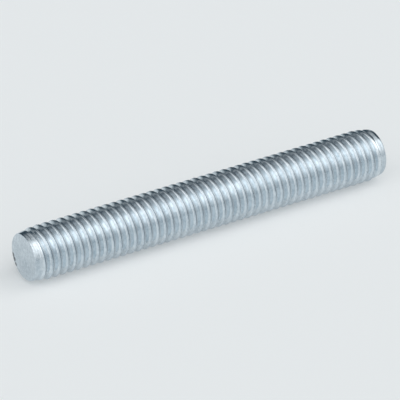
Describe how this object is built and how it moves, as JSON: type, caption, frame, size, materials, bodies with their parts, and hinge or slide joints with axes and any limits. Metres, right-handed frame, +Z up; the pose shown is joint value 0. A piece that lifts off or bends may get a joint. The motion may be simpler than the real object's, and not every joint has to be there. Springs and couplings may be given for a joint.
{
  "type": "threaded rod",
  "caption": "Short length of zinc-plated threaded rod with a right-hand metric thread over its whole length and a flat chamfered face at each end.",
  "frame": {"origin": "on the surface that the rod lies on, under the middle of its length", "axes": "+X along the rod's axis, +Z up, so the axis is half the crest diameter above the origin"},
  "size_m": [0.06, 0.0078, 0.0079],
  "materials": {
    "zinc_plate": "bright blue-white zinc plate on rolled steel, semi-gloss with a faint cloudy grain"
  },
  "bodies": {
    "root": {"threaded_rod": "zinc_plate"}
  },
  "joints": []
}
